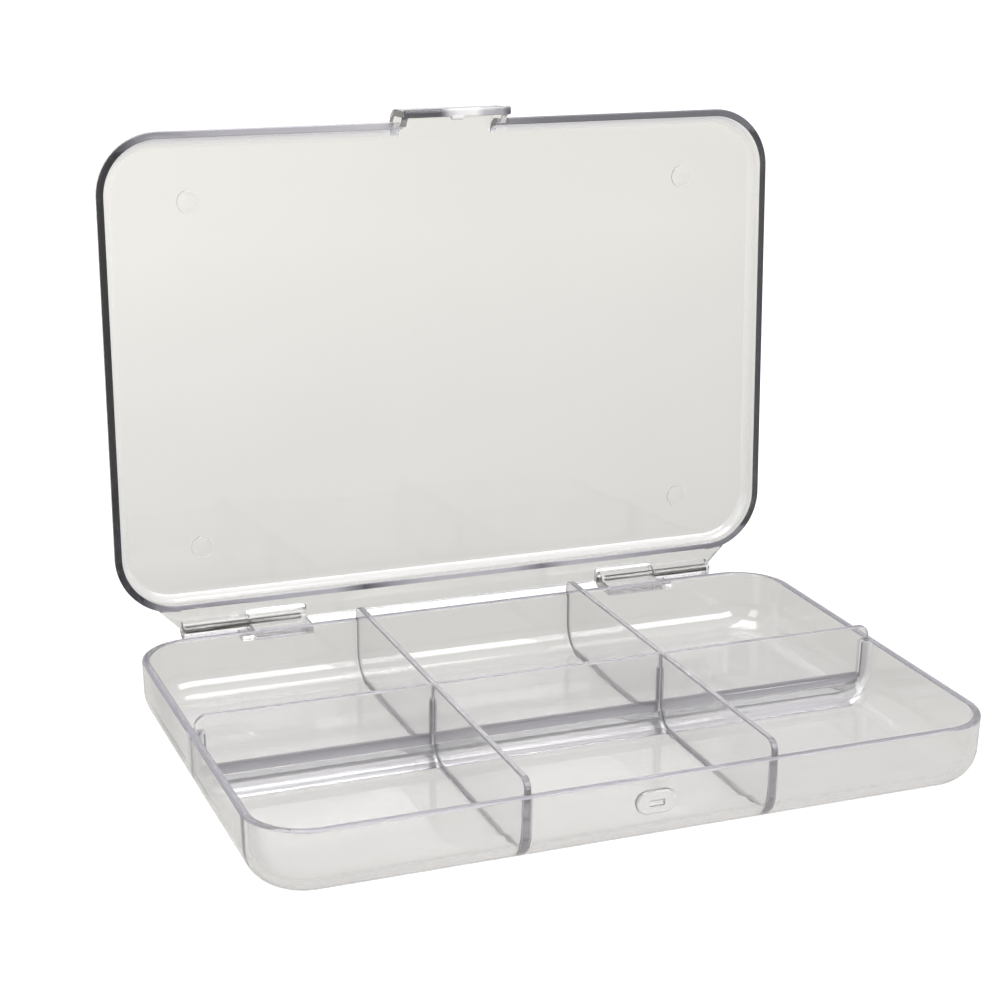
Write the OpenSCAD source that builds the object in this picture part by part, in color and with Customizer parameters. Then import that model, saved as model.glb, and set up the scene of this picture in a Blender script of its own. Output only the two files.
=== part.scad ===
// Hinged six-compartment organizer box.
// Frame: origin at the centre of the tray's flat underside, +Z up,
// +X to the right, the latch faces -Y and the hinge is at +Y.
// The lid is drawn open, at rest on its stop.

/* [Tray] */
// Outer width of the tray at its rim, mm
tray_w = 165; // [140:1:190]
// Outer depth of the tray at its rim, mm
tray_d = 109.6; // [96:0.2:130]
// Height of the rim above the surface, mm
tray_h = 15.6; // [13.6:0.2:20]
// Wall thickness, mm
wall = 1.8; // [1.4:0.1:2.2]
// Corner radius in plan at the rim, mm
corner_r = 13; // [11:0.5:16]
// Outer radius along the bottom edge, mm
bottom_r = 8; // [6:0.5:9]
// Lean of the side walls, mm of inset per mm of height
draft = 0.03; // [0.01:0.01:0.05]

/* [Dividers] */
// Distance of each cross divider from the middle, mm
cross_x = 27.4; // [20:0.2:35]
// How far the dividers stand above the rim, mm
divider_rise = 3.4; // [2.4:0.1:3.4]
// Thickness at the top of a divider, mm
divider_t = 1.4; // [1.2:0.1:1.8]
// Radius along the foot of the long divider, mm
long_foot_r = 6.2; // [5:0.2:7]
// Rounding at the top corners of a divider's ends, mm
divider_end_r = 2.4; // [1.6:0.2:3]

/* [Lid] */
// How far the lid's outline stands outside the tray's, mm
lid_over = 1.4; // [0.8:0.1:1.8]
// Depth inside the lid, mm
lid_in = 3.6; // [3.6:0.1:4.6]
// Thickness of the lid's panel, mm
lid_panel = 1.6; // [1.4:0.1:2]
// Thickness of the lid's edge wall, mm
lid_wall = 1.7; // [1.5:0.1:1.9]
// Opening angle of the lid at rest on its stop, degrees
open_angle = 92.5; // [91:0.5:95]

/* [Hinge] */
// How far the lid's rear flange reaches past the hinge axis, mm
flange_past = 0.6; // [0:0.1:0.8]
// Distance of the hinge axis behind the tray's rear wall, mm
hinge_back = 5.8; // [5.4:0.1:6.4]
// Outer radius of the hinge knuckles, mm
knuckle_r = 2.2; // [2:0.1:2.3]
// Radius of each steel pin, mm
pin_r = 0.55; // [0.5:0.05:0.7]
// Radial running clearance in the lid's knuckles, mm
pin_gap = 0.05; // [0.03:0.01:0.08]

/* [Latch] */
// Half width of the latch tab, mm
tab_hw = 13.2; // [11:0.2:15]
// How far the tab hangs below the lid's rim, mm
tab_drop = 6; // [5.6:0.1:6.4]
// How far the tab stands in front of the lid's edge, mm
tab_out = 2.8; // [2.6:0.1:3.2]

/* [Hidden] */
$fn = 96;
eps = 0.01;

seat_gap = 0.05;                       // lid rim above tray rim when shut
hinge_y = tray_d / 2 + hinge_back;
hinge_z = tray_h - 0.4;
pin_in = 40;                           // inner end of each pin
pin_out = 68.5;                        // outer end of each pin
knuckle_in = 38.6;                     // tray knuckle, inner end
knuckle_mid = 53;                      // where the two knuckles meet
knuckle_out = 69;                      // lid knuckle, outer end
ear_root = 74;                         // outer end of the ear at the lid
side_gap = 0.1;                        // end play between the knuckles
divider_top = tray_h + divider_rise;
divider_root = divider_t + 0.5;
front_y = -(tray_d / 2 + lid_over);    // lid's front face when shut
pad_z = 10.4;                          // centre height of the catch pad
lid_z = tray_h + seat_gap;             // lid's rim plane when shut
mark_x = 62.2;
mark_y = 40.8;
mark_shift = 1;
mark_r = 2.7;

// Centre of the bottom edge arc, as a distance u from the corner's axis,
// for an outline of radius r, height h, edge radius a and lean k.
function arc_u(r, h, a, k) = r - k * h + k * a - a * sqrt(1 + k * k);

// Half section of a pan, from the corner's axis (u = 0) outward.
module pan_half(r, h, a, k) {
    uc = arc_u(r, h, a, k);
    s = sqrt(1 + k * k);
    intersection() {
        union() {
            polygon([[0, 0], [uc, 0], [uc, a], [uc + a / s, a - a * k / s],
                     [r, h], [0, h]]);
            translate([uc, a]) circle(r = a);
        }
        square([r + 1, h]);
    }
}

// Section of a pan's wall and floor.  t is the wall, b the floor.
module pan_section(r, h, a, k, t, b, ai) {
    uc = arc_u(r - t, h, ai, k);
    s = sqrt(1 + k * k);
    difference() {
        pan_half(r, h, a, k);
        union() {
            polygon([[-1, b], [uc, b], [uc, b + ai],
                     [uc + ai / s, b + ai - ai * k / s],
                     [r - t + k * 1, h + 1], [-1, h + 1]]);
            translate([uc, b + ai]) circle(r = ai);
        }
    }
}

// Round-cornered open pan, w by d at its rim, standing on z = 0.
module pan(w, d, r, h, a, k, t, b, ai) {
    cx = w / 2 - r;
    cy = d / 2 - r;
    for (i = [0:3])
        translate([(i == 0 || i == 3) ? cx : -cx, i < 2 ? cy : -cy, 0])
            rotate([0, 0, 90 * i])
                rotate_extrude(angle = 90)
                    pan_section(r, h, a, k, t, b, ai);
    for (m = [0, 1]) mirror([m, 0, 0])
        translate([cx, cy, 0]) rotate([90, 0, 0])
            linear_extrude(2 * cy) pan_section(r, h, a, k, t, b, ai);
    for (m = [0, 1]) mirror([0, m, 0])
        translate([-cx, cy, 0]) rotate([90, 0, 90])
            linear_extrude(2 * cx) pan_section(r, h, a, k, t, b, ai);
    translate([-cx, -cy, 0]) cube([2 * cx, 2 * cy, b]);
}

// Wall-to-wall divider, seen from its side.  half is the half length to
// the middle of the end walls, tip the half length above the rim.
module divider_side(half, tip, top, round_r) {
    difference() {
        translate([-half, wall / 2]) square([2 * half, top - wall / 2]);
        for (m = [0, 1]) mirror([m, 0, 0]) {
            difference() {
                translate([tip - round_r, top - round_r])
                    square([round_r + wall, round_r + 1]);
                translate([tip - round_r, top - round_r])
                    circle(r = round_r);
            }
            translate([tip, tray_h - 0.4]) square([wall, divider_rise + 1]);
        }
    }
}

module divider_across(root, tip, top) {
    // tapered section in Y and Z
    polygon([[-root / 2, wall / 2], [root / 2, wall / 2],
             [tip / 2, top], [-tip / 2, top]]);
}

// Long divider with its hollow foot radii, clipped in plan.
module long_divider() {
    half = tray_w / 2 - wall / 2;
    intersection() {
        union() {
            translate([-half, 0, 0]) rotate([90, 0, 90])
                linear_extrude(2 * half) union() {
                    divider_across(divider_root, divider_t, divider_top);
                    for (m = [0, 1]) mirror([m, 0]) difference() {
                        translate([0, wall / 2])
                            square([divider_root / 2 + long_foot_r,
                                    wall / 2 + long_foot_r]);
                        translate([divider_root / 2 + long_foot_r - 0.1,
                                   wall + long_foot_r])
                            circle(r = long_foot_r);
                        translate([divider_root / 2 + long_foot_r - 0.1, -1])
                            square([2, 30]);
                    }
                }
        }
        rotate([90, 0, 0]) translate([0, 0, -10]) linear_extrude(20)
            union() {
                divider_side(half, half - wall / 2 + 0.3, divider_top,
                             divider_end_r);
            }
        long_clip();
    }
}

// Keeps a divider inside the tray's own outer surface and under the
// shoulders above the rim.
module long_clip() {
    h = tray_w / 2;
    ins = draft * tray_h + 1;
    uc = arc_u(corner_r, tray_h, bottom_r, draft);
    rotate([90, 0, 0]) translate([0, 0, -10]) linear_extrude(20)
        for (m = [0, 1]) mirror([m, 0])
            union() {
                translate([tray_w / 2 - corner_r, 0])
                    pan_half(corner_r - wall / 2, tray_h, bottom_r - wall / 2,
                             draft);
                square([tray_w / 2 - corner_r + eps, divider_top]);
                translate([0, tray_h - 1])
                    square([tray_w / 2 - wall / 2, divider_rise + 1]);
            }
}

module cross_divider() {
    half = tray_d / 2 - wall / 2;
    intersection() {
        translate([0, half, 0]) rotate([90, 0, 0])
            linear_extrude(2 * half)
                divider_across(divider_root - 0.2, divider_t, divider_top);
        rotate([90, 0, 90]) translate([0, 0, -10]) linear_extrude(20)
            divider_side(half, half, divider_top, divider_end_r);
        rotate([90, 0, 90]) translate([0, 0, -10]) linear_extrude(20)
            for (m = [0, 1]) mirror([m, 0])
                union() {
                    translate([tray_d / 2 - corner_r, 0])
                        pan_half(corner_r - wall / 2, tray_h,
                                 bottom_r - wall / 2, draft);
                    square([tray_d / 2 - corner_r + eps, divider_top]);
                    translate([0, tray_h - 1])
                        square([tray_d / 2 - wall / 2, divider_rise + 1]);
                }
    }
}

// Round-ended bar along X, standing out towards -Y.
module pill(len, high, out) {
    rotate([90, 0, 0]) linear_extrude(out) union() {
        square([len - high, high], center = true);
        for (s = [-1, 1]) translate([s * (len - high) / 2, 0])
            circle(d = high);
    }
}

// Raised catch pad on the front wall, with a shallow dent in its face.
module catch_pad() {
    y0 = -tray_d / 2 + draft * (tray_h - pad_z);
    difference() {
        translate([0, y0 + 0.8, pad_z]) pill(9, 5.2, 0.8 + 1);
        translate([0, y0 - 1.25, pad_z])
            rotate([0, 90, 0]) cylinder(h = 3.6, r = 0.8, center = true);
    }
}

module tray_knuckle() {
    difference() {
        translate([knuckle_in, 0, 0]) rotate([90, 0, 90])
            linear_extrude(knuckle_mid - knuckle_in) union() {
                translate([hinge_y, hinge_z]) circle(r = knuckle_r);
                polygon([[tray_d / 2 - 0.9, hinge_z - knuckle_r + 0.1],
                         [hinge_y, hinge_z - knuckle_r + 0.05],
                         [hinge_y, hinge_z + 0.3],
                         [tray_d / 2 - 0.9, hinge_z + 0.3]]);
            }
        translate([pin_in, hinge_y, hinge_z]) rotate([0, 90, 0])
            cylinder(h = 40, r = pin_r);
    }
}

// One moulding: pan, three dividers, two inner knuckles, catch pad.
module tray() color([0.86, 0.87, 0.88, 0.5]) {
    union() {
        pan(tray_w, tray_d, corner_r, tray_h, bottom_r, draft, wall, wall,
            bottom_r - wall);
        long_divider();
        for (s = [-1, 1]) translate([s * cross_x, 0, 0]) cross_divider();
        for (m = [0, 1]) mirror([m, 0, 0]) tray_knuckle();
        catch_pad();
    }
}

// Everything below is drawn with the lid shut and then swung open.
module swing() {
    translate([0, hinge_y, hinge_z]) rotate([-open_angle, 0, 0])
        translate([0, -hinge_y, -hinge_z]) children();
}

module lid_pan() {
    h = lid_in + lid_panel;
    translate([0, 0, lid_z + h]) mirror([0, 0, 1])
        pan(tray_w + 2 * lid_over, tray_d + 2 * lid_over,
            corner_r + lid_over, h, 4.2, 0.08, lid_wall, lid_panel, 2.6);
}

// Latch tab: the edge wall steps outward and hangs over the catch pad.
module lid_tab() {
    yo = front_y - tab_out;
    zb = lid_z - tab_drop;
    zt = lid_z + lid_in + lid_panel;
    // front plate, with a small thumb flare at its foot
    rotate([90, 0, 90]) translate([0, 0, -tab_hw]) linear_extrude(2 * tab_hw)
        polygon([[yo - 0.5, zb], [yo + 1.6, zb],
                 [yo + 1.6, zt - lid_panel - 1.2],
                 [yo + 2.8, zt - lid_panel], [front_y + 4.6, zt - lid_panel],
                 [front_y + 4.6, zt], [yo + 2.3, zt], [yo + 0.8, zt - 0.6],
                 [yo, zt - 2.3], [yo, zb + 1.6]]);
    // cheeks
    for (m = [0, 1]) mirror([m, 0, 0])
        translate([tab_hw - 1.6, 0, 0]) rotate([90, 0, 90])
            linear_extrude(1.6)
                polygon([[yo + 0.2, zb + 0.8], [front_y + 1.1, lid_z - 2.4],
                         [front_y + 1.1, lid_z + 1], [front_y + 1.6, zt - 0.6],
                         [yo + 2.6, zt - 0.6], [yo + 0.2, zt - 3]]);
    // small bump that clicks into the pad's dent
    intersection() {
        translate([0, yo + 1.6, pad_z]) rotate([0, 90, 0])
            cylinder(h = 3, r = 0.8, center = true);
        translate([-5, yo + 0.5, zb]) cube([10, 10, 4]);
    }
}

module lid_ear() {
    difference() {
        union() {
            // flange from the lid's rear edge, narrowing to the knuckle
            translate([0, 0, lid_z])
                linear_extrude(hinge_z + knuckle_r - lid_z)
                    polygon([[knuckle_mid + side_gap, -front_y - 0.6],
                             [ear_root, -front_y - 0.6],
                             [knuckle_out, hinge_y],
                             [knuckle_mid + side_gap, hinge_y]]);
            translate([knuckle_mid + side_gap, hinge_y, hinge_z])
                rotate([0, 90, 0])
                    cylinder(h = knuckle_out - knuckle_mid - side_gap,
                             r = knuckle_r);
        }
        translate([knuckle_mid - 1, hinge_y, hinge_z]) rotate([0, 90, 0])
            cylinder(h = 40, r = pin_r + pin_gap);
    }
}

// Rear flange between the ears, cut back round the tray's knuckles.
module lid_flange() {
    y0 = -front_y - 0.6;
    y1 = hinge_y - knuckle_r - 0.5;
    y2 = hinge_y + flange_past;
    translate([0, 0, lid_z]) linear_extrude(hinge_z + knuckle_r - lid_z)
        polygon([[-knuckle_mid - 0.6, y0], [knuckle_mid + 0.6, y0], [knuckle_mid + 0.6, y1], [knuckle_in - 0.4, y1],
                 [knuckle_in - 0.4, y2], [-knuckle_in + 0.4, y2],
                 [-knuckle_in + 0.4, y1], [-knuckle_mid - 0.6, y1]]);
}

// Stop heel, drawn as it lies with the lid open: its end meets the
// tray's rear wall.
module lid_heel() {
    y0 = tray_d / 2 + 0.06;
    difference() {
        translate([knuckle_mid + 0.4, y0, hinge_z - knuckle_r])
            cube([2.6, hinge_y - y0, 1.5]);
        translate([50, hinge_y, hinge_z]) rotate([0, 90, 0])
            cylinder(h = 30, r = pin_r + pin_gap);
    }
}

// Low round mark left by an ejector pin, inside the panel.
module lid_mark() {
    translate([0, 0, lid_z + lid_in - 0.3]) cylinder(h = 0.6, r = mark_r);
}

// One moulding: pan, latch tab, rear flange, two outer ears with their
// stop heels.
module lid() color([0.86, 0.87, 0.88, 0.5]) {
    union() {
        swing() {
            difference() {
                lid_pan();
                translate([-(tab_hw - 1.6), front_y - 1, lid_z - 1])
                    cube([2 * (tab_hw - 1.6), 5, 1 + lid_in]);
            }
            lid_tab();
            for (m = [0, 1]) mirror([m, 0, 0]) lid_ear();
            lid_flange();
            for (x = [-1, 1], y = [-1, 1])
                translate([x * mark_x, mark_shift + y * mark_y, 0]) lid_mark();
        }
        for (m = [0, 1]) mirror([m, 0, 0]) lid_heel();
    }
}

// Steel pin, pressed into the tray's knuckle and free in the lid's.
module hinge_pin() {
    translate([pin_in, hinge_y, hinge_z]) rotate([0, 90, 0])
        cylinder(h = pin_out - pin_in, r = pin_r);
}
module hinge_pin_right() color([0.6, 0.6, 0.6]) hinge_pin();
module hinge_pin_left() color([0.6, 0.6, 0.6]) mirror([1, 0, 0]) hinge_pin();

tray();
lid();
hinge_pin_left();
hinge_pin_right();
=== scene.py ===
import math

import bmesh
import bpy
from mathutils import Matrix, Vector


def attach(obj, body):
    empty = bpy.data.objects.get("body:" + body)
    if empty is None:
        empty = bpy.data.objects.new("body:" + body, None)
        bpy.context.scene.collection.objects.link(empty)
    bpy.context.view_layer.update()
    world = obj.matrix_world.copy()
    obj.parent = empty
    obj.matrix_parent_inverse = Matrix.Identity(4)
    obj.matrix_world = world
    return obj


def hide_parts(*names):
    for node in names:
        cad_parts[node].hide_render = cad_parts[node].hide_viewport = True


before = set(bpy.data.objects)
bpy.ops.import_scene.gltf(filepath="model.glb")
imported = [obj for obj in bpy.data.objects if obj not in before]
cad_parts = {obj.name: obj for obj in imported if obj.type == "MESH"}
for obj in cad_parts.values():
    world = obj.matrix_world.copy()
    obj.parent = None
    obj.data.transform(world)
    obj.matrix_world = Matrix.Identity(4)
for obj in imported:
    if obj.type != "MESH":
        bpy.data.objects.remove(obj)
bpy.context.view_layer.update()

# ---------------------------------------------------------------- sizes, mm
W, D, H = 165.0, 109.6, 15.6
WALL, CR, BR, DRAFT = 1.8, 13.0, 8.0, 0.03
CX, CY = W / 2 - CR, D / 2 - CR
CROSS_X = 27.4
DTOP = H + 3.4
OVER = 1.4
LID_Z = H + 0.05
LID_IN, PANEL, LWALL = 3.6, 1.6, 1.7
LID_H = LID_IN + PANEL
OPEN = 92.5
HY, HZ = D / 2 + 5.8, H - 0.4
KR = 2.2
PIN_R = 0.55
BORE_R = PIN_R - 0.008
FRONT = -(D / 2 + OVER)


# ---------------------------------------------------------------- mesh tools
def new_object(name, mesh):
    o = bpy.data.objects.new(name, mesh)
    bpy.context.scene.collection.objects.link(o)
    return o


def from_bmesh(name, bm):
    bmesh.ops.recalc_face_normals(bm, faces=bm.faces[:])
    me = bpy.data.meshes.new(name)
    bm.to_mesh(me)
    bm.free()
    return new_object(name, me)


def boolean(a, b, op):
    """a op b by the exact solver; b is used up."""
    m = a.modifiers.new("bool", "BOOLEAN")
    m.operation = op
    m.solver = "EXACT"
    m.object = b
    bpy.context.view_layer.update()
    dg = bpy.context.evaluated_depsgraph_get()
    me = bpy.data.meshes.new_from_object(a.evaluated_get(dg))
    a.modifiers.clear()
    old = a.data
    a.data = me
    bpy.data.meshes.remove(old)
    bpy.data.objects.remove(b)
    return a


def arc(cx, cy, r, a0, a1, n):
    return [(cx + r * math.cos(math.radians(a0 + (a1 - a0) * i / n)),
             cy + r * math.sin(math.radians(a0 + (a1 - a0) * i / n))) for i in range(n + 1)]


def loft(name, rings, close_ends=True):
    """Joins equal rings of points with quads and caps the two ends."""
    bm = bmesh.new()
    vs = [[bm.verts.new(p) for p in ring] for ring in rings]
    n = len(rings[0])
    for a, b in zip(vs[:-1], vs[1:]):
        for i in range(n):
            bm.faces.new((a[i], a[(i + 1) % n], b[(i + 1) % n], b[i]))
    if close_ends:
        bm.faces.new(list(reversed(vs[0])))
        bm.faces.new(vs[-1])
    return from_bmesh(name, bm)


def plan_ring(rho, z, nc=22):
    pts = []
    for sx, sy, a0 in ((1, 1, 0), (-1, 1, 90), (-1, -1, 180), (1, -1, 270)):
        pts += [(x, y, z) for x, y in arc(sx * CX, sy * CY, rho, a0, a0 + 90, nc)]
        x, y = pts[-1][:2]
        nx, ny = {0: (-CX, y), 90: (x, -CY), 180: (CX, y), 270: (x, CY)}[a0]
        m = 18 if a0 in (0, 180) else 12
        pts += [(x + (nx - x) * i / m, y + (ny - y) * i / m, z) for i in range(1, m)]
    return pts


def arc_u(r, h, a, k):
    return r - k * h + k * a - a * math.sqrt(1 + k * k)


def pan_profile(r, h, a, k, t, b, ai, lip=0.35, n=16):
    """(rho, z) from the middle of the underside round the rim to the middle of the inner floor."""
    uo = arc_u(r, h, a, k)
    ui = arc_u(r - t, h, ai, k)
    lean = math.degrees(math.atan(k))
    pts = arc(uo, a, a, -90, -lean, n)
    pts += arc(r - k * lip - lip, h - lip, lip, -lean, 90, 4)
    pts += arc(r - t - k * lip + lip, h - lip, lip, 90, 180 - lean, 4)
    pts += arc(ui, b + ai, ai, -lean, -90, n)
    return pts


def pan(name, r, h, a, k, t, b, ai, flip=None, lip=0.35, n=16):
    rings = []
    for rho, z in pan_profile(r, h, a, k, t, b, ai, lip, n):
        rings.append(plan_ring(rho, z if flip is None else flip - z))
    return loft(name, rings)


def round_poly(pts, radii, seg=5):
    """2D polygon with its corners rounded."""
    out = []
    n = len(pts)
    for i, p in enumerate(pts):
        r = radii[i] if isinstance(radii, (list, tuple)) else radii
        p = Vector(p)
        a = (Vector(pts[i - 1]) - p)
        b = (Vector(pts[(i + 1) % n]) - p)
        la, lb = a.length, b.length
        a.normalize(); b.normalize()
        cosang = max(-1, min(1, a.dot(b)))
        ang = math.acos(cosang)
        if r <= 0 or ang > math.radians(178):
            out.append(tuple(p))
            continue
        d = min(r / math.tan(ang / 2), 0.48 * la, 0.48 * lb)
        rr = d * math.tan(ang / 2)
        c = p + (a + b).normalized() * (rr / math.sin(ang / 2))
        s = p + a * d - c
        e = p + b * d - c
        a0 = math.atan2(s.y, s.x)
        a1 = math.atan2(e.y, e.x)
        da = (a1 - a0 + math.pi) % (2 * math.pi) - math.pi
        for j in range(seg + 1):
            t = a0 + da * j / seg
            out.append((c.x + rr * math.cos(t), c.y + rr * math.sin(t)))
    return out


def extrude(name, pts, lo, hi, axis="X", bevel=0.0, seg=3, cuts=1):
    """Extrudes a 2D outline along an axis, with rounded end edges.
    X: outline is (y, z).  Y: outline is (x, z).  Z: outline is (x, y)."""
    def at(u, v, w):
        return {"X": (w, u, v), "Y": (u, w, v), "Z": (u, v, w)}[axis]
    bm = bmesh.new()
    rows = [[bm.verts.new(at(u, v, lo + (hi - lo) * j / cuts)) for u, v in pts] for j in range(cuts + 1)]
    n = len(pts)
    fa = bm.faces.new(rows[0])
    fb = bm.faces.new(rows[-1])
    for a, b in zip(rows[:-1], rows[1:]):
        for i in range(n):
            bm.faces.new((a[i], a[(i + 1) % n], b[(i + 1) % n], b[i]))
    bmesh.ops.recalc_face_normals(bm, faces=bm.faces[:])
    if bevel:
        edges = list(fa.edges) + list(fb.edges)
        bmesh.ops.bevel(bm, geom=edges, offset=bevel, segments=seg, affect="EDGES", profile=0.5,
                        clamp_overlap=True)
    return from_bmesh(name, bm)


def rod(name, y, z, r, x0, x1, n=40, chamfer=0.0):
    rings = []
    prof = [(x0, r - chamfer), (x0 + chamfer, r)] if chamfer else [(x0, r)]
    prof += [(x1 - chamfer, r), (x1, r - chamfer)] if chamfer else [(x1, r)]
    for x, rr in prof:
        rings.append([(x, y + rr * math.cos(2 * math.pi * i / n), z + rr * math.sin(2 * math.pi * i / n))
                      for i in range(n)])
    return loft(name, rings)


def mirrored(o, name):
    me = o.data.copy()
    me.transform(Matrix.Scale(-1, 4, (1, 0, 0)))
    me.flip_normals()
    return new_object(name, me)


def finish_mesh(o, sharp=32.0):
    """To metres, cleaned, smooth with sharp creases kept."""
    me = o.data
    me.transform(Matrix.Scale(0.001, 4))
    bm = bmesh.new()
    bm.from_mesh(me)
    bmesh.ops.remove_doubles(bm, verts=bm.verts[:], dist=2e-6)
    bmesh.ops.dissolve_degenerate(bm, edges=bm.edges[:], dist=1e-6)
    for f in bm.faces:
        f.smooth = True
    lim = math.radians(sharp)
    for e in bm.edges:
        e.smooth = not (len(e.link_faces) == 2 and e.calc_face_angle(0) > lim)
    bm.to_mesh(me)
    bm.free()
    m = o.modifiers.new("normals", "WEIGHTED_NORMAL")
    m.keep_sharp = True
    m.mode = "FACE_AREA_WITH_ANGLE"
    m.weight = 80
    return o


# ---------------------------------------------------------------- tray
DIV_T = 1.5
LIP = 0.6


def foot(z, r):
    """How far a side stands in near the floor, for a foot radius r."""
    d = z - WALL
    return 0.0 if d >= r else r - math.sqrt(max(0.0, r * r - (r - d) ** 2))


def wall_inset(z):
    """How far the inner wall stands in from its line at the rim."""
    a = BR - WALL
    uc = arc_u(CR - WALL, H, a, DRAFT)
    s = math.sqrt(1 + DRAFT * DRAFT)
    if z < WALL + a - a * DRAFT / s:
        u = uc + math.sqrt(max(0.0, a * a - (WALL + a - z) ** 2))
    else:
        u = CR - WALL - DRAFT * (H - z)
    return CR - WALL - u


def pocket(name, col, row):
    """The space of one compartment.  col and row are -1, 0 or 1."""
    zs = set()
    for r, n in ((BR - WALL, 18), (0.8, 5)):
        zs |= {round(WALL + r * (1 - math.cos(math.radians(90 * i / n))), 4) for i in range(n + 1)}
    rows = [(z, wall_inset(z), foot(z, BR - WALL), foot(z, 0.8)) for z in sorted(zs) if z < H - LIP - 0.5]
    for i in range(8):
        a = math.radians(80 * i / 7)
        z = H - LIP + LIP * math.sin(a)
        rows.append((z, wall_inset(H - LIP) - LIP * (1 - math.cos(a)), 0.0, 0.0))
    rows.append((H + 0.01, -LIP - 0.05, 0.0, 0.0))
    rows.append((H + 6.0, -LIP - 0.05, 0.0, 0.0))
    rings = []
    h = DIV_T / 2
    for z, w, l, c in rows:
        kind = {}
        x0, kind[(-1, 0)] = (-W / 2 + WALL + w, "w") if col < 0 else ((CROSS_X if col > 0 else -CROSS_X) + h + c, "c")
        x1, kind[(1, 0)] = (W / 2 - WALL - w, "w") if col > 0 else ((CROSS_X if col == 0 else -CROSS_X) - h - c, "c")
        y0, kind[(0, -1)] = (-D / 2 + WALL + w, "w") if row < 0 else (h + l, "l")
        y1, kind[(0, 1)] = (D / 2 - WALL - w, "w") if row > 0 else (-h - l, "l")
        ring = []
        for sx, sy, a0 in ((1, 1, 0), (-1, 1, 90), (-1, -1, 180), (1, -1, 270)):
            k = "".join(sorted(kind[(sx, 0)] + kind[(0, sy)]))
            rc = {"ww": CR - WALL - w, "lw": 2.2, "cl": 0.7, "cw": 0.7}[k]
            ring += [(x, y, z) for x, y in
                     arc((x1 if sx > 0 else x0) - sx * rc, (y1 if sy > 0 else y0) - sy * rc, rc, a0, a0 + 90,
                         22 if k == "ww" else 8)]
        rings.append(ring)
    return loft(name, rings)


def build_tray():
    # solid outside, then the six compartments are taken out of it
    uo = arc_u(CR, H, BR, DRAFT)
    lean = math.degrees(math.atan(DRAFT))
    prof = arc(uo, BR, BR, -90, -lean, 20)
    prof += arc(CR - DRAFT * LIP - LIP, H - LIP, LIP, -lean, 90, 6)
    t = loft("tray_body", [plan_ring(r, z) for r, z in prof])
    for col in (-1, 0, 1):
        for row in (-1, 1):
            t = boolean(t, pocket("pocket", col, row), "DIFFERENCE")
    # the dividers stand above the rim
    end = W / 2 - WALL + 0.3
    long_side = round_poly([(-end, 6.0), (end, 6.0), (end, DTOP), (-end, DTOP)], [0, 0, 2.4, 2.4], 10)
    t = boolean(t, extrude("long_divider", long_side, -DIV_T / 2, DIV_T / 2, "Y", bevel=0.35, seg=4), "UNION")
    end = D / 2 - WALL + 0.9
    cross_side = round_poly([(-end, 6.0), (end, 6.0), (end, DTOP), (-end, DTOP)], [0, 0, 2.4, 2.4], 10)
    for sx in (-1, 1):
        c = extrude("cross_divider", cross_side, sx * CROSS_X - DIV_T / 2, sx * CROSS_X + DIV_T / 2, "X",
                    bevel=0.35, seg=4)
        t = boolean(t, c, "UNION")
    # hinge knuckles with their brackets
    y0 = D / 2 - 0.9
    out = [(y0, HZ + 0.3), (y0, HZ - KR + 0.1)]
    out += arc(HY, HZ, KR, -90, 172, 32)
    k = extrude("tray_knuckle", out, 38.6, 53.0, "X", bevel=0.3)
    k = boolean(k, rod("bore", HY, HZ, BORE_R, 40.0, 60.0, n=48), "DIFFERENCE")
    k2 = mirrored(k, "tray_knuckle_left")
    t = boolean(t, k, "UNION")
    t = boolean(t, k2, "UNION")
    # catch pad: a rounded bar with a small dent in its face
    yw = -D / 2 + DRAFT * (H - 10.4)
    cap = [(x, z + 10.4) for x, z in
           arc(1.9, 0, 2.6, -90, 90, 14) + arc(-1.9, 0, 2.6, 90, 270, 14)]
    p = extrude("catch_pad", cap, yw - 1.0, yw + 0.8, "Y", bevel=0.55, seg=4)
    p = boolean(p, rod("dent", yw - 1.25, 10.4, 0.8, -1.8, 1.8, n=28, chamfer=0.25), "DIFFERENCE")
    t = boolean(t, p, "UNION")
    return t


# ---------------------------------------------------------------- lid
def swing(o):
    m = (Matrix.Translation((0, HY, HZ)) @ Matrix.Rotation(math.radians(-OPEN), 4, "X")
         @ Matrix.Translation((0, -HY, -HZ)))
    o.data.transform(m)
    return o


def disc(name, x, y, z0, z1, n=36):
    """A low round boss with a shallow bowl in its face, pointing to -Z."""
    prof = ((2.7, z1), (2.7, z0 + 0.12), (2.66, z0 + 0.04), (2.56, z0), (2.3, z0), (2.0, z0 + 0.06),
            (1.4, z0 + 0.16), (0.7, z0 + 0.2), (0.25, z0 + 0.21))
    rings = [[(x + rr * math.cos(2 * math.pi * i / n), y + rr * math.sin(2 * math.pi * i / n), z)
              for i in range(n)] for rr, z in prof]
    return loft(name, rings)


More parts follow.
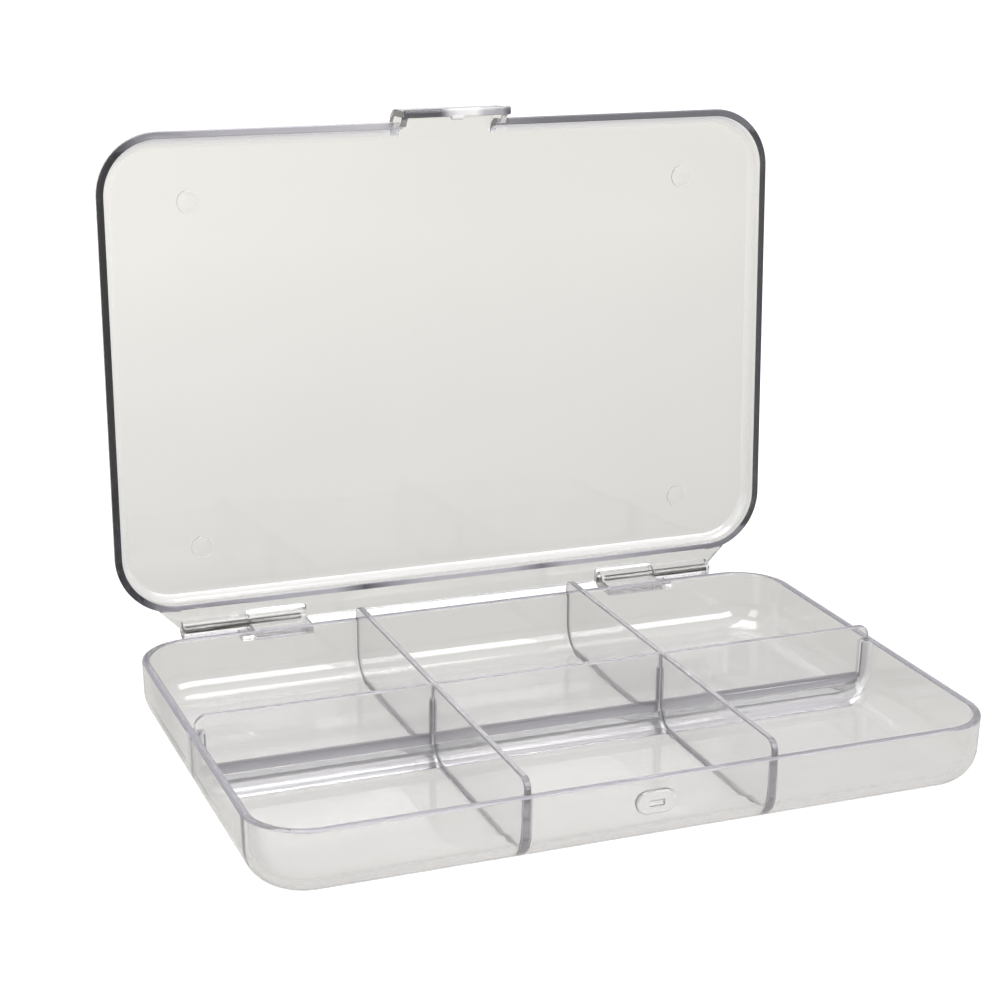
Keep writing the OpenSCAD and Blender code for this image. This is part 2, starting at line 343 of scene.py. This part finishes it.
def build_lid():
    l = pan("lid_shell", CR + OVER, LID_H, 4.2, 0.08, LWALL, PANEL, 2.6, flip=LID_Z + LID_H, lip=0.3, n=12)
    hw = 13.2
    # the edge wall is open behind the tab
    nb = [(FRONT - 2, LID_Z - 2), (FRONT + 4.0, LID_Z - 2), (FRONT + 4.0, LID_Z + LID_IN), (FRONT - 2, LID_Z + LID_IN)]
    l = boolean(l, extrude("notch", nb, -(hw - 1.6), hw - 1.6, "X"), "DIFFERENCE")
    yo, zb, zt = FRONT - 2.8, LID_Z - 6.0, LID_Z + LID_H
    plate = round_poly(
        [(yo - 0.5, zb), (yo + 1.6, zb), (yo + 1.6, zt - PANEL - 1.2), (yo + 2.8, zt - PANEL),
         (FRONT + 4.6, zt - PANEL), (FRONT + 4.6, zt), (yo + 2.8, zt), (yo, zt - 2.8), (yo, zb + 1.6)],
        [0.5, 0.35, 1.0, 1.0, 0, 0, 1.8, 1.8, 1.2], 6)
    tab = extrude("tab_plate", plate, -hw, hw, "X", bevel=0.35, cuts=12)
    for s in (-1, 1):
        ck = round_poly([(yo + 0.25, zb + 0.8), (FRONT + 1.1, LID_Z - 2.4), (FRONT + 1.1, LID_Z + 1),
                         (FRONT + 1.6, zt - 0.6), (yo + 1.9, zt - 0.6), (yo + 0.25, zt - 2.4)],
                        [0.3, 0.6, 0.2, 0.2, 0.3, 0.3], 4)
        a, b = (hw - 1.6, hw - 0.04) if s > 0 else (-hw + 0.04, -hw + 1.6)
        tab = boolean(tab, extrude("cheek", ck, a, b, "X", bevel=0.15), "UNION")
    bump = rod("bump", yo + 1.6, 10.4, 0.8, -1.5, 1.5, n=32, chamfer=0.2)
    tab = boolean(tab, bump, "UNION")
    l = boolean(l, tab, "UNION")
    # ears
    out = [(-FRONT - 0.6, LID_Z)]
    out += arc(HY, HZ, KR, 168.2, 450, 34)
    out += [(-FRONT - 0.6, HZ + KR)]
    ear = extrude("ear", out, 53.1, 69.0, "X", bevel=0.18)
    wedge = round_poly([(66.0, -FRONT - 0.6), (74.0, -FRONT - 0.6), (69.0, HY - 0.02), (66.0, HY - 0.02)],
                       [0, 0, 0.2, 0])
    ear = boolean(ear, extrude("wedge", wedge, LID_Z + 0.02, HZ + KR - 0.02, "Z", bevel=0.15), "UNION")
    ear = boolean(ear, rod("bore", HY, HZ, BORE_R, 50.0, 80.0), "DIFFERENCE")
    ear2 = mirrored(ear, "ear_left")
    l = boolean(l, ear, "UNION")
    l = boolean(l, ear2, "UNION")
    # rear flange between the ears, cut back round the tray's knuckles
    y0, y1, y2 = -FRONT - 0.6, HY - KR - 0.5, HY + 0.6
    fl = round_poly([(-53.6, y0), (53.6, y0), (53.6, y1), (38.2, y1), (38.2, y2), (-38.2, y2), (-38.2, y1), (-53.6, y1)],
                    [0, 0, 0.4, 0.3, 0.5, 0.5, 0.3, 0.4], 4)
    l = boolean(l, extrude("flange", fl, LID_Z, HZ + KR, "Z", bevel=0.2), "UNION")
    # ejector marks inside the panel
    for x in (-62.2, 62.2):
        for y in (-39.8, 41.8):
            l = boolean(l, disc("mark", x, y, LID_Z + LID_IN - 0.3, LID_Z + LID_IN + 0.4), "UNION")
    swing(l)
    for s in (-1, 1):
        heel = [(D / 2 + 0.06, HZ - KR), (HY, HZ - KR), (HY, HZ - KR + 1.5), (D / 2 + 0.06, HZ - KR + 1.5)]
        a, b = (53.4, 56.0) if s > 0 else (-56.0, -53.4)
        heel = extrude("heel", round_poly(heel, [0.3, 0, 0, 0.3], 3), a, b, "X", bevel=0.15)
        heel = boolean(heel, rod("bore", HY, HZ, BORE_R, min(a, b) - 3, max(a, b) + 3), "DIFFERENCE")
        l = boolean(l, heel, "UNION")
    return l


# ---------------------------------------------------------------- materials
def clear_plastic(name):
    """Clear polystyrene: sharp refraction, faint moulding ripples, a violet grey where light has run a long way inside
    it, and painted shade that darkens end faces and divider feet towards a violet grey (attribute "rim")."""
    m = bpy.data.materials.new(name)
    m.use_nodes = True
    nt = m.node_tree
    n, ln = nt.nodes, nt.links
    b = n["Principled BSDF"]
    b.inputs["Transmission Weight"].default_value = 1.0
    b.inputs["IOR"].default_value = 1.59
    b.inputs["Roughness"].default_value = 0.05
    tc = n.new("ShaderNodeTexCoord")
    # slow flow ripples of the moulding, and a fine orange peel
    big = n.new("ShaderNodeTexNoise")
    big.inputs["Scale"].default_value = 30.0
    big.inputs["Detail"].default_value = 1.0
    fine = n.new("ShaderNodeTexNoise")
    fine.inputs["Scale"].default_value = 420.0
    fine.inputs["Detail"].default_value = 2.0
    mix = n.new("ShaderNodeMath")
    mix.operation = "MULTIPLY_ADD"
    mix.inputs[1].default_value = 0.04
    ln.new(tc.outputs["Object"], big.inputs["Vector"])
    ln.new(tc.outputs["Object"], fine.inputs["Vector"])
    ln.new(fine.outputs["Fac"], mix.inputs[0])
    ln.new(big.outputs["Fac"], mix.inputs[2])
    bump = n.new("ShaderNodeBump")
    bump.inputs["Strength"].default_value = 0.2
    bump.inputs["Distance"].default_value = 0.001
    ln.new(mix.outputs[0], bump.inputs["Height"])
    ln.new(bump.outputs["Normal"], b.inputs["Normal"])
    # faint haze and tint variation
    haze = n.new("ShaderNodeTexNoise")
    haze.inputs["Scale"].default_value = 14.0
    haze.inputs["Detail"].default_value = 3.0
    ramp = n.new("ShaderNodeValToRGB")
    ramp.color_ramp.elements[0].position = 0.3
    ramp.color_ramp.elements[0].color = (0.955, 0.952, 0.945, 1)
    ramp.color_ramp.elements[1].position = 0.75
    ramp.color_ramp.elements[1].color = (0.985, 0.983, 0.977, 1)
    ln.new(tc.outputs["Object"], haze.inputs["Vector"])
    ln.new(haze.outputs["Fac"], ramp.inputs["Fac"])
    # painted shade: end faces of the walls and dividers, rim tops and divider feet darkened towards a violet grey by
    # the attribute
    rim = n.new("ShaderNodeAttribute")
    rim.attribute_name = "rim"
    painted_shade_mix = n.new("ShaderNodeMix")
    painted_shade_mix.data_type = "RGBA"
    painted_shade_mix.blend_type = "MULTIPLY"
    shade = n.new("ShaderNodeValToRGB")
    shade.color_ramp.elements[0].position = 0.0
    shade.color_ramp.elements[0].color = (1, 1, 1, 1)
    shade.color_ramp.elements[1].position = 1.0
    shade.color_ramp.elements[1].color = (0.05, 0.05, 0.065, 1)
    e = shade.color_ramp.elements.new(0.5)
    e.color = (0.56, 0.55, 0.60, 1)
    ln.new(rim.outputs["Fac"], shade.inputs["Fac"])
    painted_shade_mix.inputs["Factor"].default_value = 1.0
    ln.new(ramp.outputs["Color"], painted_shade_mix.inputs["A"])
    ln.new(shade.outputs["Color"], painted_shade_mix.inputs["B"])
    ln.new(painted_shade_mix.outputs["Result"], b.inputs["Base Color"])
    # where the attribute is set less light passes and the tinted base colour shows: a slight haze everywhere, and
    # painted light and painted shade on end faces, rims, divider feet and the lid's inner fillet
    milk = n.new("ShaderNodeAttribute")
    milk.attribute_name = "milk"
    inv = n.new("ShaderNodeMath")
    inv.operation = "SUBTRACT"
    inv.use_clamp = True
    inv.inputs[0].default_value = 1.0
    ln.new(milk.outputs["Fac"], inv.inputs[1])
    ln.new(inv.outputs[0], b.inputs["Transmission Weight"])
    ab = n.new("ShaderNodeVolumeAbsorption")
    ab.inputs["Color"].default_value = (0.50, 0.49, 0.56, 1)
    ab.inputs["Density"].default_value = 24.0
    ln.new(ab.outputs[0], n["Material Output"].inputs["Volume"])
    return m


def mark_faces(o, name, fn, base=0.0):
    """Stores fn(centre, normal, corner), 0 to 1, for each face corner in the attribute `name`."""
    me = o.data
    at = me.attributes.new(name, "FLOAT", "CORNER")
    for p in me.polygons:
        keep = fn(p.center * 1000.0, p.normal, None) is not None
        for li in p.loop_indices:
            v = me.vertices[me.loops[li].vertex_index].co * 1000.0
            at.data[li].value = fn(p.center * 1000.0, p.normal, v) if keep else base
    return o


def steps(x, *stops):
    """Straight line through (x, value) stops."""
    if x <= stops[0][0]:
        return stops[0][1]
    for (x0, v0), (x1, v1) in zip(stops[:-1], stops[1:]):
        if x <= x1:
            return v0 + (v1 - v0) * (x - x0) / (x1 - x0)
    return stops[-1][1]


TO_SHUT = (Matrix.Translation((0, HY, HZ)) @ Matrix.Rotation(math.radians(OPEN), 4, "X")
           @ Matrix.Translation((0, -HY, -HZ)))


# painted shade: how dark each edge face of the lid and of its tab is, set piece by piece along x
def lid_painted_edge_shade(c, nrm, v):
    q = TO_SHUT @ c
    qn = TO_SHUT.to_3x3() @ nrm
    if qn.z > -0.3:
        return None
    tab = abs(q.x) < 13.3 and q.y < FRONT + 1.2 and q.z < LID_Z - 0.1
    if not tab and (q.z > LID_Z + 0.32 or q.y > -FRONT - 0.25 or q.y < FRONT - 0.1):
        return None
    if v is None:
        return 1.0
    w = TO_SHUT @ v
    if tab:
        if q.z > LID_Z - 5.0:
            return 0.85 if q.x < 0 else 0.3
        return steps(w.x, (-12, 0.85), (-4, 0.85), (-1.5, 0.1), (5.0, 0.0), (6.5, 0.35), (11.5, 0.4), (12.5, 0.9))
    if w.x < -CX and abs(w.y) < D / 2:                          # left edge
        return steps(-w.x, (CX, 0.6), (CX + 8, 0.95), (W / 2, 1.0))
    if w.x > CX and abs(w.y) < D / 2 - 4:                       # right edge
        return steps(w.x, (CX, 0.75), (W / 2 - 4, 0.92))
    if w.y < 0:                                                 # latch side
        return steps(w.x, (-CX, 0.78), (-CX + 10, 0.56), (-30, 0.50), (-14, 0.40), (14, 0.74), (25, 0.86), (CX, 0.88))
    return steps(w.x, (-CX, 0.70), (-48, 0.50), (-28, 0.44), (-24, 0.92), (-18, 0.92), (-14, 0.44), (14, 0.38), (22, 0.78), (27, 0.84),
                 (31, 0.42), (46, 0.54), (CX, 0.80))


# painted light and shade: how milky each edge face of the lid is, set piece by piece along x
def lid_painted_light_milk(c, nrm, v):
    q = TO_SHUT @ c
    qn = TO_SHUT.to_3x3() @ nrm
    r = lid_painted_edge_shade(c, nrm, None)
    if r is not None:
        if v is None:
            return 1.0
        w = TO_SHUT @ v
        if abs(w.x) < 13.4 and w.y < FRONT + 1.3:
            return steps(w.x, (-12, 0.30), (-4, 0.30), (-1.5, 0.85), (5, 0.85), (7, 0.6), (11, 0.5), (13, 0.3))
        if w.x < -CX and abs(w.y) < D / 2 - 3:
            return steps(-w.x, (CX, 0.6), (CX + 8, 0.12), (W / 2, 0.06))
        if w.x > CX and abs(w.y) < D / 2 - 4:
            return steps(w.x, (CX, 0.5), (W / 2 - 3, 0.22))
        return 0.8
    # painted highlight: the fillet where the panel turns into the walls is made milky so it shows a white line
    if (LID_Z + LID_IN - 2.4 < q.z < LID_Z + LID_IN + 0.05 and -0.93 < qn.z < -0.25
            and abs(q.x) < W / 2 and abs(q.y) < D / 2 and not (abs(q.x) < 14 and q.y < -D / 2 + 5)):
        return 0.32
    return None


# painted light: rim tops, rim faces, the long divider's ends and the divider feet are made milky so they show lighter
def tray_painted_light_milk(c, nrm, v):
    if nrm.z > 0.35 and c.z > H - LIP - 0.1 and c.y < D / 2 + 0.1:
        return 0.20 if abs(c.x) < W / 2 - WALL and abs(c.y) < D / 2 - WALL else 0.38
    if abs(c.x) > W / 2 - WALL - 3.2 and abs(c.y) < 3.0 and c.z > WALL:      # long divider's ends
        return 0.45
    if tray_painted_edge_shade(c, nrm, None) is not None:
        return 0.38
    if WALL < c.z < 8.5 and abs(c.y) < 7.5 and 0.10 < abs(nrm.y) < 0.985 and abs(c.x) < W / 2 - WALL:
        return 0.13
    return None


# painted shade: the rim tops and the divider feet are darkened towards a violet grey
def tray_painted_edge_shade(c, nrm, v):
    if nrm.z > 0.35 and c.z > H - LIP - 0.1 and c.y < D / 2 + 0.1:
        return 0.34 if abs(c.x) < W / 2 - WALL and abs(c.y) < D / 2 - WALL else 0.50
    # painted shade: a grey line where the dividers begin to turn into the floor and walls
    if WALL + 0.3 < c.z < H - LIP - 0.1 and abs(c.x) < W / 2 - WALL and abs(c.y) < D / 2 - WALL:
        if abs(c.y) < 2.6 and 0.905 < abs(nrm.y) < 0.992:
            return 0.66
        if abs(abs(c.x) - CROSS_X) < 1.6 and 0.84 < abs(nrm.x) < 0.992:
            return 0.45
    return None


def steel(name):
    """Drawn steel wire, dulled dark, with broken brighter streaks along it."""
    m = bpy.data.materials.new(name)
    m.use_nodes = True
    nt = m.node_tree
    n, ln = nt.nodes, nt.links
    b = n["Principled BSDF"]
    b.inputs["Metallic"].default_value = 1.0
    tc = n.new("ShaderNodeTexCoord")
    mp = n.new("ShaderNodeMapping")
    mp.inputs["Scale"].default_value = (45, 1500, 1500)
    ns = n.new("ShaderNodeTexNoise")
    ns.inputs["Scale"].default_value = 1.0
    ns.inputs["Detail"].default_value = 3.0
    ln.new(tc.outputs["Object"], mp.inputs["Vector"])
    ln.new(mp.outputs["Vector"], ns.inputs["Vector"])
    streak = n.new("ShaderNodeValToRGB")
    streak.color_ramp.elements[0].position = 0.42
    streak.color_ramp.elements[0].color = (0.045, 0.043, 0.037, 1)
    streak.color_ramp.elements[1].position = 0.56
    streak.color_ramp.elements[1].color = (0.30, 0.29, 0.27, 1)
    ln.new(ns.outputs["Fac"], streak.inputs["Fac"])
    ln.new(streak.outputs["Color"], b.inputs["Base Color"])
    rr = n.new("ShaderNodeMapRange")
    rr.inputs["To Min"].default_value = 0.22
    rr.inputs["To Max"].default_value = 0.42
    ln.new(ns.outputs["Fac"], rr.inputs["Value"])
    ln.new(rr.outputs["Result"], b.inputs["Roughness"])
    b.inputs["Specular Tint"].default_value = (0.25, 0.25, 0.25, 1)
    bump = n.new("ShaderNodeBump")
    bump.inputs["Strength"].default_value = 0.3
    bump.inputs["Distance"].default_value = 0.00003
    ln.new(ns.outputs["Fac"], bump.inputs["Height"])
    ln.new(bump.outputs["Normal"], b.inputs["Normal"])
    return m


PLASTIC = clear_plastic("clear_polystyrene")
STEEL = steel("pin_wire")

# ---------------------------------------------------------------- the object
tray = mark_faces(finish_mesh(build_tray()), "rim", tray_painted_edge_shade)
mark_faces(tray, "milk", tray_painted_light_milk, 0.07)
tray.name = "tray_moulding"
tray.data.materials.append(PLASTIC)
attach(tray, "tray")
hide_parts("tray")

lid = mark_faces(finish_mesh(build_lid()), "rim", lid_painted_edge_shade)
mark_faces(lid, "milk", lid_painted_light_milk, 0.02)
lid.name = "lid_moulding"
lid.data.materials.append(PLASTIC)
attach(lid, "lid")
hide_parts("lid")

for side, s in (("right", 1), ("left", -1)):
    lo, hi = (40.0, 68.5) if s > 0 else (-68.5, -40.0)
    pin = finish_mesh(rod(f"pin_{side}", HY, HZ, PIN_R, lo, hi, n=48, chamfer=0.12))
    pin.name = f"hinge_wire_{side}"
    pin.data.materials.append(STEEL)
    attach(pin, "tray")
    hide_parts(f"hinge_pin_{side}")

# ---------------------------------------------------------------- stage
def floor_material():
    """A pale luminous table: white where it is looked at, and a soft warm grey where it shows through or in the
    plastic, with painted shade that glows darkest just behind the tray and towards the right, and a faint contact
    shadow."""
    m = bpy.data.materials.new("floor_white")
    m.use_nodes = True
    nt = m.node_tree
    n, ln = nt.nodes, nt.links
    n.remove(n["Principled BSDF"])
    out = n["Material Output"]
    tc = n.new("ShaderNodeTexCoord")
    sep = n.new("ShaderNodeSeparateXYZ")
    ln.new(tc.outputs["Object"], sep.inputs[0])
    # painted shade: seen through the plastic, the glow is darkest just behind the tray and grows lighter far back
    my = n.new("ShaderNodeMapRange")
    my.inputs["From Min"].default_value = -0.1
    my.inputs["From Max"].default_value = 1.1
    ln.new(sep.outputs["Y"], my.inputs["Value"])
    ramp = n.new("ShaderNodeValToRGB")
    cr = ramp.color_ramp
    cr.elements[0].position = 0.0
    cr.elements[0].color = (0.81, 0.80, 0.775, 1)
    cr.elements[1].position = 1.0
    cr.elements[1].color = (1.0, 0.985, 0.93, 1)
    for pos, c in ((0.14, (0.70, 0.69, 0.665)), (0.24, (0.78, 0.775, 0.745)), (0.38, (0.86, 0.848, 0.815)),
                   (0.60, (0.95, 0.935, 0.89))):
        e = cr.elements.new(pos)
        e.color = (*c, 1)
    ln.new(my.outputs["Result"], ramp.inputs["Fac"])

    # painted shade: the glowing table is a little darker towards its right
    mx = n.new("ShaderNodeMapRange")
    mx.inputs["From Min"].default_value = -0.05
    mx.inputs["From Max"].default_value = 0.45
    mx.inputs["To Min"].default_value = 1.0
    mx.inputs["To Max"].default_value = 0.86
    ln.new(sep.outputs["X"], mx.inputs["Value"])
    e1 = n.new("ShaderNodeEmission")
    ln.new(ramp.outputs["Color"], e1.inputs["Color"])
    ln.new(mx.outputs["Result"], e1.inputs["Strength"])
    e2 = n.new("ShaderNodeEmission")
    e2.inputs["Color"].default_value = (1, 1, 1, 1)
    e2.inputs["Strength"].default_value = 0.86
    df = n.new("ShaderNodeBsdfDiffuse")
    df.inputs["Color"].default_value = (0.30, 0.30, 0.30, 1)
    add = n.new("ShaderNodeAddShader")
    ln.new(e2.outputs[0], add.inputs[0])
    ln.new(df.outputs[0], add.inputs[1])
    lp = n.new("ShaderNodeLightPath")
    mx = n.new("ShaderNodeMixShader")
    ln.new(lp.outputs["Is Camera Ray"], mx.inputs[0])
    ln.new(e1.outputs[0], mx.inputs[1])
    ln.new(add.outputs[0], mx.inputs[2])
    ln.new(mx.outputs[0], out.inputs["Surface"])
    return m


bm = bmesh.new()
bmesh.ops.create_grid(bm, x_segments=1, y_segments=1, size=40.0)
for v in bm.verts:
    v.co.z = -0.0001            # just clear of the tray's base
floor = from_bmesh("floor", bm)
floor.data.materials.append(floor_material())

world = bpy.data.worlds.new("studio")
bpy.context.scene.world = world
world.use_nodes = True
nt = world.node_tree
n, ln = nt.nodes, nt.links
bg = n["Background"]
out = n["World Output"]
tc = n.new("ShaderNodeTexCoord")
sep = n.new("ShaderNodeSeparateXYZ")
ln.new(tc.outputs["Generated"], sep.inputs[0])
ramp = n.new("ShaderNodeValToRGB")
cr = ramp.color_ramp
cr.elements[0].position = 0.0
cr.elements[0].color = (0.85, 0.85, 0.84, 1)
cr.elements[1].position = 1.0
cr.elements[1].color = (1.25, 1.25, 1.25, 1)
for pos, v in ((0.10, 0.80), (0.24, 0.60), (0.70, 0.55), (0.84, 0.95)):
    e = cr.elements.new(pos)
    e.color = (v, v * 0.985, v * 1.03, 1)
ln.new(sep.outputs["Z"], ramp.inputs["Fac"])
ln.new(ramp.outputs["Color"], bg.inputs["Color"])
bg.inputs["Strength"].default_value = 1.0
bg2 = n.new("ShaderNodeBackground")
bg2.inputs["Color"].default_value = (1, 1, 1, 1)
lp = n.new("ShaderNodeLightPath")
mx = n.new("ShaderNodeMixShader")
ln.new(lp.outputs["Is Camera Ray"], mx.inputs[0])
ln.new(bg.outputs[0], mx.inputs[1])
ln.new(bg2.outputs[0], mx.inputs[2])
ln.new(mx.outputs[0], out.inputs["Surface"])


def area(name, loc, look, size, power, color=(1, 1, 1)):
    d = bpy.data.lights.new(name, "AREA")
    d.shape = "RECTANGLE"
    d.size, d.size_y = size
    d.energy = power
    d.color = color
    o = bpy.data.objects.new(name, d)
    bpy.context.scene.collection.objects.link(o)
    o.location = loc
    o.rotation_euler = (Vector(look) - Vector(loc)).to_track_quat("-Z", "Y").to_euler()
    return o


area("top_softbox", (-0.1, 0.15, 1.1), (0, 0, 0), (0.9, 0.7), 9.0)
area("front_softbox", (0.42, -0.95, 0.78), (0, 0.02, 0), (0.8, 0.5), 6.0)
area("left_softbox", (-1.1, -0.5, 0.7), (0, 0, 0.05), (0.5, 0.8), 3.0)

# camera at the photograph's viewing angle
C = Vector((-0.17952167, -0.41975997, 0.19797896))
F = Vector((0.35326447, 0.88826481, -0.29358107))
R = Vector((0.93030431, -0.3666499, 0.01008666))
U = Vector((0.09868185, 0.27668299, 0.95588096))
cd = bpy.data.cameras.new("camera")
cd.sensor_width = 36.0
cd.lens = 36.0 * 2.198331
cd.clip_start = 0.01
cd.clip_end = 100
cam = bpy.data.objects.new("camera", cd)
bpy.context.scene.collection.objects.link(cam)
cam.matrix_world = Matrix(((R.x, U.x, -F.x, C.x), (R.y, U.y, -F.y, C.y), (R.z, U.z, -F.z, C.z), (0, 0, 0, 1)))
bpy.context.scene.camera = cam

sc = bpy.context.scene
sc.view_settings.view_transform = "Standard"
sc.view_settings.look = "None"
sc.cycles.max_bounces = 24
sc.cycles.transmission_bounces = 24
sc.cycles.glossy_bounces = 12
sc.cycles.transparent_max_bounces = 16
sc.cycles.caustics_refractive = True
sc.cycles.caustics_reflective = True

bpy.context.view_layer.update()
